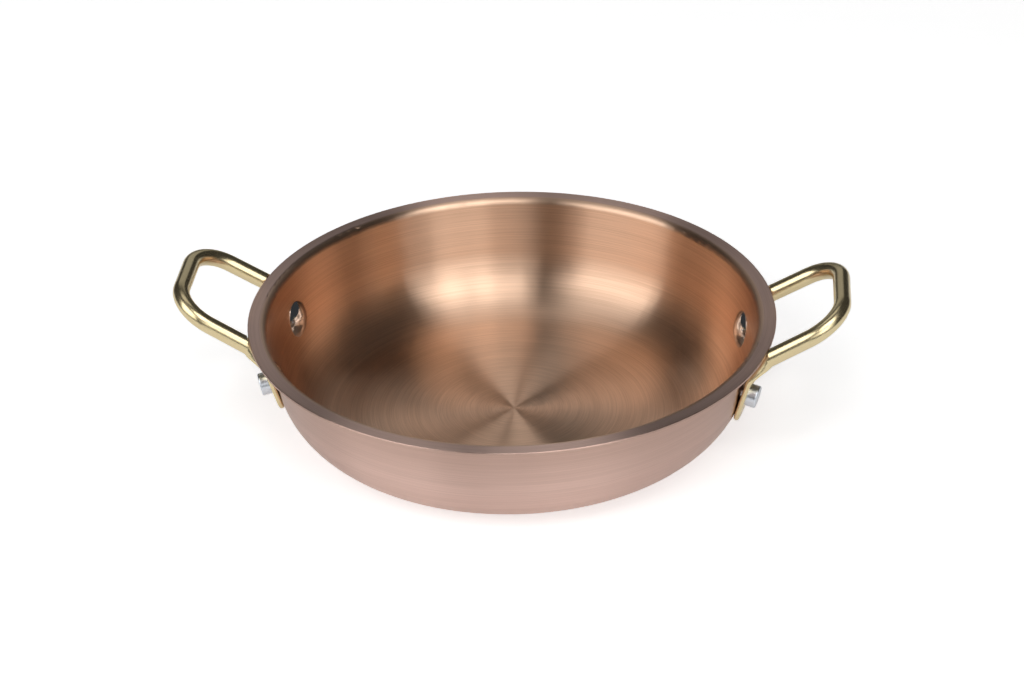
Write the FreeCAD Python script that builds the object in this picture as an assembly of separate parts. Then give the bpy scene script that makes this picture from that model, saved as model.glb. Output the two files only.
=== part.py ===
import FreeCAD, Part
import math
import os

from FreeCAD import Vector

# Two-handled copper casserole. A pan is spun from one copper sheet: flat base, big corner radius,
# leaning wall and a flared flat lip. A round-wire brass loop handle sits on each side. Each end of
# a wire is bent down under the lip, flattened into a tab and riveted to the wall.
# Millimetres. Z is up, X runs through both handles, the origin is the middle of the base underside.

# Pan, one spun sheet
RIM_RADIUS = 100.0
PAN_HEIGHT = 44.0
SHEET = 1.2
CORNER_RADIUS = 26.4
WALL_LEAN = 10.65
LIP_FLAT = 4.3
LIP_BEND_RADIUS = 3.0
LIP_EDGE_ROUND = 0.3

# Loop handle, one bent round wire
WIRE_DIAMETER = 6.5
HANDLE_REACH = 24.0
HANDLE_SLOPE = 30.6
HANDLE_DROP = 2.0
LEG_SPACING = 48.6
BAR_SPACING = 47.2
LOOP_CORNER_RADIUS = 15.0

# Flattened tab at each end of the wire
TAB_THICKNESS = 2.0
TAB_WIDTH = 12.0
TAB_LEAN = 16.0
TAB_BELOW_RIVET = 11.6
TAB_ABOVE_HEAD = 1.7
NECK_WIDTH = 11.2
NECK_THICKNESS = 3.4
KNEE_WIDTH = 8.0
KNEE_THICKNESS = 4.9
KNEE_BULGE = 1.0
KNEE_PAST_LIP = 2.5
TAB_SEAT_CLEARANCE = 0.03
TAB_EDGE_SHARE = 0.42
LIP_CLEARANCE = 0.35
SECTION_SHORT_ARC = 8.0

# Rivet, one through each tab
RIVET_INSET = 0.9
RIVET_BELOW_RIM = 18.9
SHANK_DIAMETER = 4.8
HOLE_CLEARANCE = 0.05
DOME_DIAMETER = 14.2
DOME_HEIGHT = 2.5
DOME_EDGE = 0.3
HEAD_DIAMETER = 8.6
HEAD_HEIGHT = 3.8
HEAD_EDGE_ROUND = 0.6

WIRE_RADIUS = WIRE_DIAMETER / 2
LEAN = math.radians(WALL_LEAN)
SLOPE = math.radians(HANDLE_SLOPE)
TILT = math.radians(TAB_LEAN)

# The bend under the lip; the wall runs down from it, and the corner arc ends at the flat base
BEND_CENTRE_R = RIM_RADIUS - LIP_FLAT
BEND_CENTRE_Z = PAN_HEIGHT - LIP_BEND_RADIUS
WALL_TOP_R = BEND_CENTRE_R - (LIP_BEND_RADIUS - SHEET) / math.cos(LEAN)
WALL_FOOT_Z = CORNER_RADIUS * (1 - math.sin(LEAN))
WALL_FOOT_R = WALL_TOP_R - (BEND_CENTRE_Z - WALL_FOOT_Z) * math.tan(LEAN)
BASE_FLAT_RADIUS = WALL_FOOT_R - CORNER_RADIUS * math.cos(LEAN)


def outside_lean(z):
    """Lean of the outside from upright at a height: the wall's own, or more on the corner arc."""
    return max(LEAN, math.asin(max(0, 1 - z / CORNER_RADIUS)))


def outside_radius(z):
    """Outside radius of the pan at a height, on the corner arc or on the straight wall."""
    on_arc = BASE_FLAT_RADIUS + CORNER_RADIUS * math.cos(outside_lean(z))
    return on_arc + max(0, z - WALL_FOOT_Z) * math.tan(LEAN)


def sheet_side(offset):
    """One side of the sheet from the axis to the lip edge; offset 0 is outside, SHEET is inside."""
    arc_r = CORNER_RADIUS - offset
    foot = Vector(BASE_FLAT_RADIUS + arc_r * math.cos(LEAN), 0, CORNER_RADIUS - arc_r * math.sin(LEAN))
    middle_turn = (math.pi / 2 - LEAN) / 2
    middle = Vector(
        BASE_FLAT_RADIUS + arc_r * math.sin(middle_turn),
        0,
        CORNER_RADIUS - arc_r * math.cos(middle_turn),
    )
    lip_z = PAN_HEIGHT - SHEET + offset
    bend_r = LIP_BEND_RADIUS - SHEET + offset
    wall_top = Vector(
        BEND_CENTRE_R - bend_r * math.cos(LEAN),
        0,
        BEND_CENTRE_Z + bend_r * math.sin(LEAN),
    )
    bend_turn = (math.pi - LEAN + math.pi / 2) / 2
    bend_middle = Vector(
        BEND_CENTRE_R + bend_r * math.cos(bend_turn),
        0,
        BEND_CENTRE_Z + bend_r * math.sin(bend_turn),
    )
    lip_start = Vector(BEND_CENTRE_R, 0, lip_z)
    lip_end = Vector(RIM_RADIUS, 0, lip_z)
    axis_point = Vector(0, 0, offset)
    base_end = Vector(BASE_FLAT_RADIUS, 0, offset)
    edges = [
        Part.makeLine(axis_point, base_end),
        Part.Arc(base_end, middle, foot).toShape(),
        Part.makeLine(foot, wall_top),
        Part.Arc(wall_top, bend_middle, lip_start).toShape(),
        Part.makeLine(lip_start, lip_end),
    ]
    return edges, axis_point, lip_end


def spun_sheet():
    """The pan before the rivet holes are drilled."""
    outside, low_axis, low_edge = sheet_side(0)
    inside, high_axis, high_edge = sheet_side(SHEET)
    closing = [Part.makeLine(low_edge, high_edge), Part.makeLine(low_axis, high_axis)]
    wire = Part.Wire(Part.__sortEdges__(outside + inside + closing))
    body = Part.Face(wire).revolve(Vector(0, 0, 0), Vector(0, 0, 1), 360)
    lip_edges = []
    for edge in body.Edges:
        is_circle = isinstance(edge.Curve, Part.Circle)
        if is_circle and abs(edge.Curve.Radius - RIM_RADIUS) < 1e-6:
            lip_edges.append(edge)
    return body.makeFillet(LIP_EDGE_ROUND, lip_edges)


def radial(turn):
    """Unit vector outward from the axis at an angle from +X."""
    return Vector(math.cos(turn), math.sin(turn), 0)


# Rivet frame: square to the wall, on the line of the leg
RIVET_Z = PAN_HEIGHT - RIVET_BELOW_RIM
RIVET_R = outside_radius(RIVET_Z)
RIVET_LEAN = outside_lean(RIVET_Z)
RIVET_TURN = math.asin((LEG_SPACING / 2 - RIVET_INSET) / RIVET_R)
RIVET_OUT = radial(RIVET_TURN) * math.cos(RIVET_LEAN) - Vector(0, 0, math.sin(RIVET_LEAN))
RIVET_POINT = radial(RIVET_TURN) * RIVET_R + Vector(0, 0, RIVET_Z)

# Tab frame: its face leans more than the wall, and rests on the corner arc or by its lower end
TAB_OUT = radial(RIVET_TURN) * math.cos(TILT) - Vector(0, 0, math.sin(TILT))
TAB_UP = radial(RIVET_TURN) * math.sin(TILT) + Vector(0, 0, math.cos(TILT))
TAB_ACROSS = radial(RIVET_TURN + math.pi / 2)
SEAT_Z = max(CORNER_RADIUS * (1 - math.sin(TILT)), RIVET_Z - TAB_BELOW_RIVET * math.cos(TILT))
SEAT_POINT = radial(RIVET_TURN) * outside_radius(SEAT_Z) + Vector(0, 0, SEAT_Z)
TAB_SEAT = SEAT_POINT + TAB_OUT * TAB_SEAT_CLEARANCE

# The tab's flat part ends above the rivet's head
TAB_FLAT_ABOVE_RIVET = HEAD_DIAMETER / 2 + TAB_ABOVE_HEAD


def on_tab_face(point):
    """The point of the tab's inner face that lies under a given point."""
    return point - TAB_OUT * (point - TAB_SEAT).dot(TAB_OUT)


def tab_start():
    """Middle of the tab's inner face at the rivet."""
    return on_tab_face(RIVET_POINT)


def leg_point(x):
    """Point of a leg's centre line; the legs close in slightly towards the outer bar."""
    y = LEG_SPACING / 2 - (x - RIM_RADIUS) * (LEG_SPACING - BAR_SPACING) / (2 * HANDLE_REACH)
    z = PAN_HEIGHT - HANDLE_DROP + (x - RIM_RADIUS) * math.tan(SLOPE)
    return Vector(x, y, z)


# Where the middle of a leg crosses the lip's edge
LEG_AT_LIP = math.sqrt(RIM_RADIUS ** 2 - (LEG_SPACING / 2) ** 2)


def mirrored(point):
    """The same point on the other leg."""
    return Vector(point.x, -point.y, point.z)


def unit_down(direction):
    """The direction as a unit vector, turned to the side that points down."""
    unit = Vector(direction).normalize()
    return unit if unit.z < 0 else unit * -1


def leg_frame(along):
    """Directions across a leg: level, and square to it on its lower side."""
    level = Vector(0, 1, 0)
    across = (level - along * level.dot(along)).normalize()
    return across, unit_down(along.cross(across))


def round_section(centre, across, out):
    """The wire's circle as eight arcs, so that each matches an edge of the ovals below."""
    short = math.radians(SECTION_SHORT_ARC)
    turns = []
    for quarter in range(4):
        turns += [quarter * math.pi / 2 + short / 2, (quarter + 1) * math.pi / 2 - short / 2]

    def at(turn):
        return centre + (across * math.cos(turn) + out * math.sin(turn)) * WIRE_RADIUS

    edges = []
    for index, first in enumerate(turns):
        last = turns[index + 1] if index < 7 else turns[0] + 2 * math.pi
        edges.append(Part.Arc(at(first), at((first + last) / 2), at(last)).toShape())
    return Part.Wire(edges)


def loop_wire():
    """The round part of the handle: two legs, two corners and the outer bar."""
    start = leg_point(LEG_AT_LIP)
    corner = leg_point(RIM_RADIUS + HANDLE_REACH)
    along = (corner - start).normalize()
    inward = Vector(0, -1, 0)
    turn = math.acos(along.dot(inward))
    reach = LOOP_CORNER_RADIUS * math.tan(turn / 2)
    leg_end = corner - along * reach
    bar_end = corner + inward * reach
    to_centre = (inward - along * along.dot(inward)).normalize()
    centre = leg_end + to_centre * LOOP_CORNER_RADIUS
    arc_middle = centre + (corner - centre).normalize() * LOOP_CORNER_RADIUS
    path = Part.Wire([
        Part.makeLine(start, leg_end),
        Part.Arc(leg_end, arc_middle, bar_end).toShape(),
        Part.makeLine(bar_end, mirrored(bar_end)),
        Part.Arc(mirrored(bar_end), mirrored(arc_middle), mirrored(leg_end)).toShape(),
        Part.makeLine(mirrored(leg_end), mirrored(start)),
    ])
    across, out = leg_frame(along)
    profile = round_section(start, across, out)
    return path.makePipeShell([profile], True, False), start, along


def oval(centre, across, out, width, thickness, corner):
    """A rounded rectangle of eight edges, lying across the wire."""
    half_w = width / 2
    half_t = thickness / 2
    diag = corner * (1 - math.sqrt(0.5))

    def at(u, v):
        return centre + across * u + out * v

    edges = []
    signs = [(1, 1), (-1, 1), (-1, -1), (1, -1)]
    for index, (su, sv) in enumerate(signs):
        side = at(su * half_w, sv * (half_t - corner))
        face = at(su * (half_w - corner), sv * half_t)
        middle = at(su * (half_w - diag), sv * (half_t - diag))
        first, last = (side, face) if index % 2 == 0 else (face, side)
        edges.append(Part.Arc(first, middle, last).toShape())
        nu, nv = signs[(index + 1) % 4]
        if index % 2 == 0:
            following = at(nu * (half_w - corner), nv * half_t)
        else:
            following = at(nu * half_w, nv * (half_t - corner))
        edges.append(Part.makeLine(last, following))
    return Part.Wire(edges)


def forged_end(start, along):
    """Bend of one leg: the round wire turns down under the lip and flattens into the tab."""
    inward = along * -1
    leg_across, leg_out = leg_frame(along)
    # The knee, where the wire would stand flush with the tab's inner face, but past the lip
    to_face = (start - TAB_SEAT).dot(TAB_OUT) - WIRE_RADIUS
    flush_run = to_face / -inward.dot(TAB_OUT)
    knee = start + inward * max(flush_run, KNEE_PAST_LIP)
    knee_out = (leg_out + TAB_OUT).normalize()
    knee_across = (leg_across + TAB_ACROSS).normalize()
    knee_c = knee + knee_out * KNEE_BULGE
    flat_top = tab_start() + TAB_UP * TAB_FLAT_ABOVE_RIVET
    # The neck lies midway between the knee and the flat part
    neck_rise = (knee - flat_top).dot(TAB_UP) / 2
    neck_c = flat_top + TAB_UP * neck_rise + TAB_OUT * (NECK_THICKNESS / 2)
    sections = [
        round_section(start, leg_across, leg_out),
        oval(knee_c, knee_across, knee_out, KNEE_WIDTH, KNEE_THICKNESS, KNEE_THICKNESS * 0.49),
        oval(neck_c, TAB_ACROSS, TAB_OUT, NECK_WIDTH, NECK_THICKNESS, NECK_THICKNESS * 0.48),
        tab_section(),
    ]
    return Part.makeLoft(sections, True, False)


def tab_section():
    """The tab's own section, a flat bar with soft edges, where the forged neck ends."""
    centre = tab_start() + TAB_UP * TAB_FLAT_ABOVE_RIVET + TAB_OUT * (TAB_THICKNESS / 2)
    return oval(centre, TAB_ACROSS, TAB_OUT, TAB_WIDTH, TAB_THICKNESS, TAB_THICKNESS * TAB_EDGE_SHARE)


def tab_plate():
    """The flat tab: a straight length of its section, closed by a round lower end."""
    half_w = TAB_WIDTH / 2
    half_t = TAB_THICKNESS / 2
    soft = TAB_THICKNESS * TAB_EDGE_SHARE
    inset = soft * (1 - math.sqrt(0.5))
    straight = TAB_FLAT_ABOVE_RIVET + TAB_BELOW_RIVET - half_w
    bar = Part.Face(tab_section()).extrude(TAB_UP * -straight)
    low = tab_start() - TAB_UP * (TAB_BELOW_RIVET - half_w) + TAB_OUT * half_t

    def at(u, v):
        return low + TAB_ACROSS * u + TAB_OUT * v

    half = Part.Wire([
        Part.makeLine(at(0, -half_t), at(half_w - soft, -half_t)),
        Part.Arc(
            at(half_w - soft, -half_t),
            at(half_w - inset, inset - half_t),
            at(half_w, soft - half_t),
        ).toShape(),
        Part.makeLine(at(half_w, soft - half_t), at(half_w, half_t - soft)),
        Part.Arc(
            at(half_w, half_t - soft),
            at(half_w - inset, half_t - inset),
            at(half_w - soft, half_t),
        ).toShape(),
        Part.makeLine(at(half_w - soft, half_t), at(0, half_t)),
        Part.makeLine(at(0, half_t), at(0, -half_t)),
    ])
    tip = Part.Face(half).revolve(low, TAB_OUT, 360)
    return bar.fuse(tip).removeSplitter()


def rivet_hole():
    """Drill for the rivet shank through the tab and the wall."""
    radius = SHANK_DIAMETER / 2 + HOLE_CLEARANCE
    length = 4 * (SHEET + TAB_THICKNESS)
    return Part.makeCylinder(radius, length, RIVET_POINT - RIVET_OUT * (length / 2), RIVET_OUT)


def room_for_lip():
    """Ring cut from the wire, so that it passes under the pan's lip and round its edge."""
    low = Vector(0, 0, PAN_HEIGHT - SHEET - LIP_CLEARANCE)
    high = WIRE_DIAMETER * 2
    outer = Part.makeCylinder(RIM_RADIUS + LIP_CLEARANCE, high, low)
    return outer.cut(Part.makeCylinder(RIM_RADIUS / 2, high, low))


def mirror_y(shape):
    """The shape on the other side of the handle's middle."""
    return shape.mirror(Vector(0, 0, 0), Vector(0, 1, 0))


def handle():
    """One brass handle on the +X side, with its holes."""
    loop, start, along = loop_wire()
    end = forged_end(start, along).fuse(tab_plate()).cut(rivet_hole())
    whole = loop.fuse([end, mirror_y(end)]).removeSplitter()
    return whole.cut(room_for_lip())


def rivet(sheet):
    """One rivet, turned about its axis, then seated on the inside wall and on the tab."""
    seat = RIVET_OUT.dot(tab_start() - RIVET_POINT) + TAB_THICKNESS
    top = seat + HEAD_HEIGHT
    crown = -SHEET - DOME_HEIGHT
    rim = -SHEET - DOME_EDGE
    dome_r = DOME_DIAMETER / 2
    shank_r = SHANK_DIAMETER / 2
    head_r = HEAD_DIAMETER / 2
    rise = DOME_HEIGHT - DOME_EDGE
    ball_r = (dome_r ** 2 + rise ** 2) / (2 * rise)
    half = math.asin(dome_r / ball_r) / 2
    round_mid = HEAD_EDGE_ROUND * (1 - math.sqrt(0.5))
    head_low = seat - TAB_THICKNESS / 2
    dome_low = -SHEET / 2

    def at(r, h):
        return RIVET_POINT + TAB_ACROSS * r + RIVET_OUT * h

    dome_mid = at(ball_r * math.sin(half), crown + ball_r * (1 - math.cos(half)))
    edge_mid = at(head_r - round_mid, top - round_mid)
    corners = [
        at(dome_r, rim),
        at(dome_r, dome_low),
        at(shank_r, dome_low),
        at(shank_r, head_low),
        at(head_r, head_low),
        at(head_r, top - HEAD_EDGE_ROUND),
    ]
    outline = [Part.Arc(at(0, crown), dome_mid, corners[0]).toShape()]
    outline += [Part.makeLine(p, q) for p, q in zip(corners, corners[1:])]
    outline.append(Part.Arc(corners[-1], edge_mid, at(head_r - HEAD_EDGE_ROUND, top)).toShape())
    outline.append(Part.makeLine(at(head_r - HEAD_EDGE_ROUND, top), at(0, top)))
    outline.append(Part.makeLine(at(0, top), at(0, crown)))
    blank = Part.Face(Part.Wire(outline)).revolve(RIVET_POINT, RIVET_OUT, 360)
    seated = blank.cut(sheet.cut(rivet_hole())).cut(tab_plate().cut(rivet_hole()))
    # Where the wall curves, a trimmed rim of the blank can stay behind it; the rivet is the main solid
    return max(seated.Solids, key=lambda solid: solid.Volume)


def to_place(shape, side, end):
    """A shape made on the +X +Y corner, moved to its side (right or left) and end (front or rear)."""
    placed = shape if (side == "right") == (end == "rear") else mirror_y(shape)
    if side == "left":
        placed = placed.copy()
        placed.rotate(Vector(0, 0, 0), Vector(0, 0, 1), 180)
    return placed


def main():
    os.makedirs("parts", exist_ok=True)
    sheet = spun_sheet()
    one_rivet = rivet(sheet)
    one_handle = handle()
    pan = sheet
    for side in ("left", "right"):
        half_turn = one_handle.copy()
        if side == "left":
            half_turn.rotate(Vector(0, 0, 0), Vector(0, 0, 1), 180)
        half_turn.exportStep("parts/handle_" + side + ".step")
        for end in ("front", "rear"):
            pan = pan.cut(to_place(rivet_hole(), side, end))
            placed = to_place(one_rivet, side, end)
            placed.exportStep("parts/rivet_" + side + "_" + end + ".step")
    pan.exportStep("parts/pan_body.step")


main()
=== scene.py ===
import math

import bpy
from mathutils import Matrix, Vector

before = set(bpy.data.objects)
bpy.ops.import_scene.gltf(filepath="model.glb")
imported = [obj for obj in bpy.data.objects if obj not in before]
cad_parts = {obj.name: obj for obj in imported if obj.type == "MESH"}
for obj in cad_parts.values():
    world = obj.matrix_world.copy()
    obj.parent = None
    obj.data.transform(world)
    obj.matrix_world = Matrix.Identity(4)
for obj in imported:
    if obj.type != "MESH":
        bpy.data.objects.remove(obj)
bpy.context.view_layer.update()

# The pan stands before the camera as in the photograph: a long lens, looking down over the front
# edge, from a hand's breadth to the right of the pan's middle.
rim_middle = Vector((0.0, 0.0, 0.044))
camera_distance = 1.037739
camera_height_angle = math.radians(29.558)
camera_turn = math.radians(5.577)
camera_roll = math.radians(-1.442)
aim_right = 0.000126
aim_up = -0.01134

towards_camera = Vector((
    math.sin(camera_turn) * math.cos(camera_height_angle),
    -math.cos(camera_turn) * math.cos(camera_height_angle),
    math.sin(camera_height_angle),
))
level_right = Vector((math.cos(camera_turn), math.sin(camera_turn), 0.0))
level_up = towards_camera.cross(level_right)
picture_right = math.cos(camera_roll) * level_right + math.sin(camera_roll) * level_up
picture_up = -math.sin(camera_roll) * level_right + math.cos(camera_roll) * level_up
camera_place = rim_middle + camera_distance * towards_camera
aim_point = rim_middle + aim_right * picture_right + aim_up * picture_up

camera_back = (camera_place - aim_point).normalized()
camera_right = (picture_right - picture_right.dot(camera_back) * camera_back).normalized()
camera_up = camera_back.cross(camera_right)
camera_data = bpy.data.cameras.new("camera")
camera_data.sensor_width = 36.0
camera_data.lens = 96.22
camera_data.clip_start = 0.05
camera_data.clip_end = 50.0
camera = bpy.data.objects.new("camera", camera_data)
bpy.context.scene.collection.objects.link(camera)
turned = Matrix((camera_right, camera_up, camera_back)).transposed().to_4x4()
camera.matrix_world = Matrix.Translation(camera_place) @ turned
bpy.context.scene.camera = camera


# The pan is one spun sheet of copper: a flat base, a big round corner, a leaning wall and a flat
# flared lip. It is satin finished on the lathe, so fine rings run round the base, the corner and
# the wall, inside and out, and they draw every reflection out into a spoke from the middle.
copper_inside = (0.80, 0.55, 0.395, 1.0)
copper_inside_worn = (0.68, 0.455, 0.32, 1.0)
copper_outside = (0.75, 0.53, 0.455, 1.0)
copper_outside_worn = (0.67, 0.465, 0.395, 1.0)
# Painted shade: a darker copper laid on the outside of the wall just under the lip, where the
# lip's overhang shades it.
copper_painted_shade_under_lip = (0.48, 0.31, 0.24, 1.0)
copper_roughness = 0.315
ring_roughness = 0.03
hair_wear = 3.0
fine_wear = 2.2
broad_wear = 1.3
cloud_wear = 0.4
least_wear = 0.3
lip_start_radius = 0.0957
lip_start_steepness = 900.0
facing_steepness = 2.0
# Where the painted shade under the lip begins on the wall, how fast it fades in, and how much of
# the darker copper it mixes in.
painted_shade_bottom = 0.022
painted_shade_steepness = 50.0
painted_shade_share = 0.5


class Socket:
    """A value in a material, on which plain arithmetic adds the Math nodes."""

    def __init__(self, tree, socket):
        self.tree = tree
        self.socket = socket

    def maths(self, operation, *values):
        return node(self.tree, "ShaderNodeMath", {"operation": operation}, *values)["Value"]

    def __add__(self, other):
        return self.maths("ADD", self, other)

    __radd__ = __add__

    def __mul__(self, other):
        return self.maths("MULTIPLY", self, other)

    __rmul__ = __mul__

    def __sub__(self, other):
        return self.maths("SUBTRACT", self, other)

    def __rsub__(self, other):
        return self.maths("SUBTRACT", other, self)

    def __truediv__(self, other):
        return self.maths("DIVIDE", self, other)

    def __rtruediv__(self, other):
        return self.maths("DIVIDE", other, self)

    def __pow__(self, other):
        return self.maths("POWER", self, other)

    def __rpow__(self, other):
        return self.maths("POWER", other, self)

    def clipped(self):
        return self.maths("MINIMUM", self.maths("MAXIMUM", self, 0.0), 1.0)


def node(tree, kind, settings=None, *by_order, **by_name):
    """Adds a node: its settings first, then its sockets' values or links, in order or by name."""
    made = tree.nodes.new(kind)
    for name, value in (settings or {}).items():
        setattr(made, name, value)
    entries = list(zip([entry for entry in made.inputs if entry.enabled], by_order))
    entries += [(made.inputs[name.replace("_", " ")], value) for name, value in by_name.items()]
    for entry, value in entries:
        if isinstance(value, Socket):
            tree.links.new(value.socket, entry)
        else:
            entry.default_value = value
    return {out.name: Socket(tree, out) for out in made.outputs if out.enabled}


def new_material(name):
    """Makes an empty material, and gives its node tree too."""
    made = bpy.data.materials.new(name)
    made.use_nodes = True
    made.node_tree.nodes.clear()
    return made, made.node_tree


def dress(material, *names):
    """Puts a material in every slot of the named pieces."""
    for name in names:
        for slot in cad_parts[name].material_slots:
            slot.material = material


def mixed(tree, factor, first, second):
    """Goes from the first colour to the second as the factor goes from 0 to 1."""
    return node(tree, "ShaderNodeMix", {"data_type": "RGBA"}, factor, first, second)["Result"]


def noise(tree, spot, scale, detail):
    """Soft noise between 0 and 1, whose grains are about 1 / scale wide."""
    return node(tree, "ShaderNodeTexNoise", None, Vector=spot, Scale=scale, Detail=detail)["Fac"]


def from_axis(apart):
    """How far a spot lies from the pan's upright axis, and never quite 0, to divide by it."""
    return (apart["X"] * apart["X"] + apart["Y"] * apart["Y"] + 1e-9) ** 0.5


def rings(tree, across, fineness, wander):
    """Rings of brushing, about 0: noise that runs fast across them and slowly round the pan."""
    spot = node(
        tree, "ShaderNodeCombineXYZ", None, across * fineness, way_x * wander, way_y * wander
    )["Vector"]
    return noise(tree, spot, scale=1.0, detail=2.0) - 0.5


copper, tree = new_material("satin_copper")
place = node(tree, "ShaderNodeTexCoord")["Object"]
apart = node(tree, "ShaderNodeSeparateXYZ", None, place)
out_from_middle = from_axis(apart)
along_profile = out_from_middle + apart["Z"]
way_x = apart["X"] / out_from_middle
way_y = apart["Y"] / out_from_middle
hair_rings = rings(tree, along_profile, fineness=5200.0, wander=2.2)
fine_rings = rings(tree, along_profile, fineness=2400.0, wander=1.4)
broad_rings = rings(tree, along_profile, fineness=260.0, wander=0.4)
clouding = noise(tree, place, scale=26.0, detail=3.0)

facing = node(tree, "ShaderNodeSeparateXYZ", None, node(tree, "ShaderNodeNewGeometry")["Normal"])
towards_axis = facing["Z"] - facing["X"] * way_x - facing["Y"] * way_y
faces_in = (towards_axis * facing_steepness + 0.5).clipped()
before_lip = ((lip_start_radius - out_from_middle) * lip_start_steepness).clipped()
# Painted shade mask: 0 low on the wall, rising to 1 towards the lip.
painted_shade_under_lip = ((apart["Z"] - painted_shade_bottom) * painted_shade_steepness).clipped()
wear = (
    hair_rings * hair_wear + fine_rings * fine_wear + broad_rings * broad_wear
    + clouding * cloud_wear + least_wear
).clipped()

copper_tone = mixed(
    tree, faces_in * before_lip,
    mixed(tree, wear, copper_outside, copper_outside_worn),
    mixed(tree, wear, copper_inside, copper_inside_worn),
)
# Painted shade: the outside of the wall is darkened towards the lip, as if shaded by its overhang.
# The inside is left alone.
copper_tone = mixed(
    tree, painted_shade_under_lip * (1.0 - faces_in) * painted_shade_share, copper_tone, copper_painted_shade_under_lip
)
copper_bump = node(
    tree, "ShaderNodeBump", None,
    Height=hair_rings + fine_rings, Strength=0.35, Distance=0.00003,
)["Normal"]
copper_shader = node(
    tree, "ShaderNodeBsdfPrincipled", {"distribution": "GGX"},
    Base_Color=copper_tone,
    Metallic=1.0,
    Roughness=(
        copper_roughness + fine_rings * ring_roughness + broad_rings * ring_roughness
        + hair_rings * ring_roughness
    ).clipped(),
    Anisotropic=1.0,
    Anisotropic_Rotation=0.25,
    Normal=copper_bump,
)["BSDF"]
node(tree, "ShaderNodeOutputMaterial", None, copper_shader)
dress(copper, "pan_body")


# Each handle is one length of round brass wire, bent into a loop, with both ends pressed flat into
# a tab for the rivet. The wire is polished bright, and keeps small marks and slightly deeper
# patches of tone.
brass_colour = (0.82, 0.70, 0.43, 1.0)
brass_deeper = (0.75, 0.61, 0.35, 1.0)
brass_roughness = 0.245
brass_mark_roughness = 0.01
brass_patch_roughness = 0.015
mark_depth = 0.3

brass, tree = new_material("polished_brass")
place = node(tree, "ShaderNodeTexCoord")["Object"]
marks = noise(tree, place, scale=900.0, detail=3.0)
patches = noise(tree, place, scale=70.0, detail=3.0)
brass_bump = node(
    tree, "ShaderNodeBump", None,
    Height=marks * mark_depth + patches, Strength=0.15, Distance=0.00002,
)["Normal"]
brass_shader = node(
    tree, "ShaderNodeBsdfPrincipled", None,
    Base_Color=mixed(tree, patches, brass_colour, brass_deeper),
    Metallic=1.0,
    Roughness=(
        brass_roughness + marks * brass_mark_roughness + patches * brass_patch_roughness
    ).clipped(),
    Normal=brass_bump,
)["BSDF"]
node(tree, "ShaderNodeOutputMaterial", None, brass_shader)
dress(brass, "handle_left", "handle_right")


# Four solid steel rivets, one through each tab: a low polished dome inside the pan, and outside a
# flat round head that was struck against the tab.
steel_colour = (0.76, 0.80, 0.85, 1.0)
steel_duller = (0.68, 0.72, 0.77, 1.0)
dome_roughness = 0.07
steel_mark_roughness = 0.03
outer_head_roughness = 0.23
outer_head_radius = 0.0925
outer_head_steepness = 1000.0

steel, tree = new_material("polished_steel")
place = node(tree, "ShaderNodeTexCoord")["Object"]
marks = noise(tree, place, scale=1300.0, detail=3.0)
patches = noise(tree, place, scale=220.0, detail=2.0)
out_from_middle = from_axis(node(tree, "ShaderNodeSeparateXYZ", None, place))
outer_head = ((out_from_middle - outer_head_radius) * outer_head_steepness).clipped()
steel_bump = node(
    tree, "ShaderNodeBump", None,
    Height=marks * mark_depth + patches, Strength=0.2, Distance=0.00002,
)["Normal"]
steel_shader = node(
    tree, "ShaderNodeBsdfPrincipled", None,
    Base_Color=mixed(tree, patches, steel_colour, steel_duller),
    Metallic=1.0,
    Roughness=(
        dome_roughness + marks * steel_mark_roughness + outer_head * outer_head_roughness
    ).clipped(),
    Normal=steel_bump,
)["BSDF"]
node(tree, "ShaderNodeOutputMaterial", None, steel_shader)
dress(steel, "rivet_left_front", "rivet_left_rear", "rivet_right_front", "rivet_right_rear")


# The studio is a dark room with a white table under the pan, a white backdrop and soft boxes all
# round. The table and the backdrop glow white for the camera, and more faintly in the metal, and
# that glow lights nothing. The table lies a hair below the base, so the two share no face.
white = (1.0, 1.0, 1.0, 1.0)
table_colour = (0.85, 0.85, 0.85, 1.0)
table_width = 3.0
table_height = -0.0002
table_glow = 0.56
table_glow_in_metal = 0.25
backdrop_glow = 1.0
backdrop_glow_in_metal = 0.04


def glow_strength(tree, for_camera, in_metal):
    """How strongly a white ground glows for the camera, and how strongly in metal and glass."""
    ray = node(tree, "ShaderNodeLightPath")
    in_reflection = (ray["Is Glossy Ray"] + ray["Is Transmission Ray"]).clipped()
    return ray["Is Camera Ray"] * for_camera + in_reflection * in_metal


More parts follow.
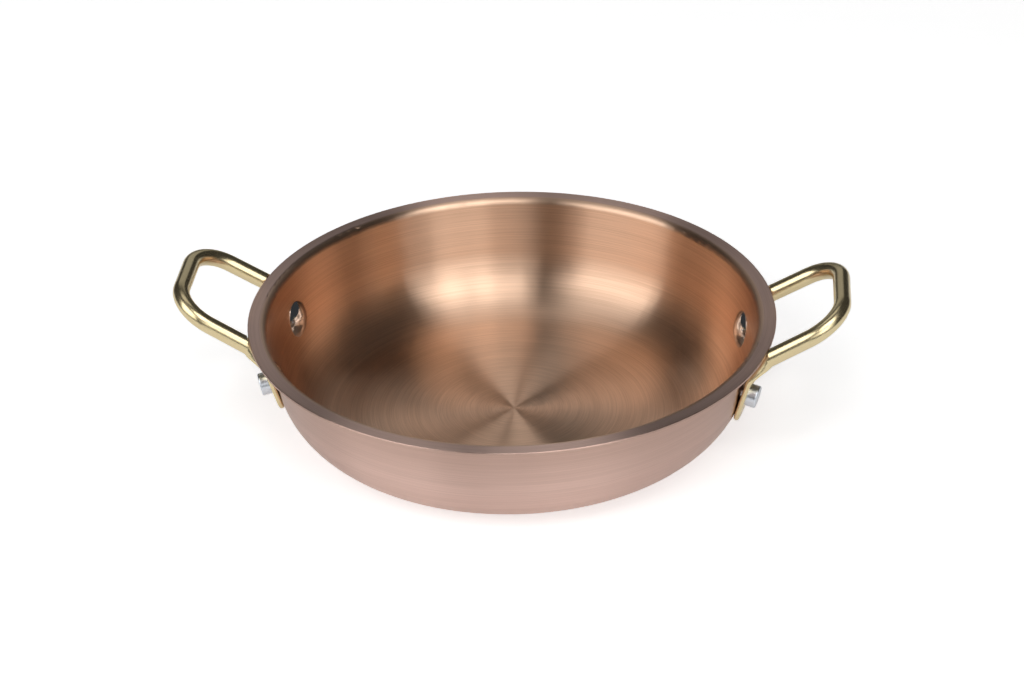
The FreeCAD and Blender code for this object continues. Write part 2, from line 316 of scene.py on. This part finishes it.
bpy.ops.object.select_all(action="DESELECT")
bpy.ops.mesh.primitive_plane_add(size=table_width, location=(0.0, 0.0, table_height))
table = bpy.context.object
table.name = "table"
table_white, tree = new_material("table_white")
cloth = node(tree, "ShaderNodeBsdfDiffuse", None, Color=table_colour)["BSDF"]
table_strength = glow_strength(tree, table_glow, table_glow_in_metal)
glow = node(tree, "ShaderNodeEmission", None, Color=white, Strength=table_strength)["Emission"]
both = node(tree, "ShaderNodeAddShader", None, cloth, glow)["Shader"]
node(tree, "ShaderNodeOutputMaterial", None, both)
table.data.materials.append(table_white)

studio = bpy.data.worlds.new("studio")
bpy.context.scene.world = studio
studio.use_nodes = True
tree = studio.node_tree
tree.nodes.clear()
backdrop_strength = glow_strength(tree, backdrop_glow, backdrop_glow_in_metal)
backdrop = node(
    tree, "ShaderNodeBackground", None, Color=white, Strength=backdrop_strength
)["Background"]
node(tree, "ShaderNodeOutputWorld", None, backdrop)


def soft_box(name, turns, heights, brightness, distance=2.0):
    """A flat soft box that fills a range of angles round the pan, turned from the camera's side,
    and a range of angles above the table. A brightness of 1 makes its own face white."""
    turn = camera_turn + math.radians(sum(turns) / 2)
    height = math.radians(sum(heights) / 2)
    way = Vector((
        math.sin(turn) * math.cos(height), -math.cos(turn) * math.cos(height), math.sin(height)
    ))
    half_turn = math.radians(turns[1] - turns[0]) / 2
    half_height = math.radians(heights[1] - heights[0]) / 2
    lamp = bpy.data.lights.new(name, "AREA")
    lamp.shape = "RECTANGLE"
    lamp.size = 2 * distance * math.cos(height) * math.tan(half_turn)
    lamp.size_y = 2 * distance * math.tan(half_height)
    lamp.energy = math.pi * lamp.size * lamp.size_y * brightness
    box = bpy.data.objects.new(name, lamp)
    bpy.context.scene.collection.objects.link(box)
    box.location = way * distance
    box.rotation_euler = (-way).to_track_quat("-Z", "Y").to_euler()


soft_box("box_left", turns=(-85, -33), heights=(14, 57), brightness=2.3)
soft_box("box_left_high", turns=(-85, -40), heights=(58, 76), brightness=0.25)
soft_box("box_right", turns=(-14, 55), heights=(14, 40), brightness=1.0)
soft_box("box_right_middle", turns=(10, 40), heights=(16, 44), brightness=1.4, distance=1.9)
soft_box("box_right_high", turns=(28, 63), heights=(42, 75), brightness=2.8)
soft_box("box_front_high", turns=(-14, 26), heights=(48, 78), brightness=2.7)
soft_box("box_behind", turns=(162, 204), heights=(16, 41), brightness=0.34)
soft_box("box_above", turns=(160, 236), heights=(60, 78), brightness=0.75)

bpy.context.scene.view_settings.view_transform = "Standard"
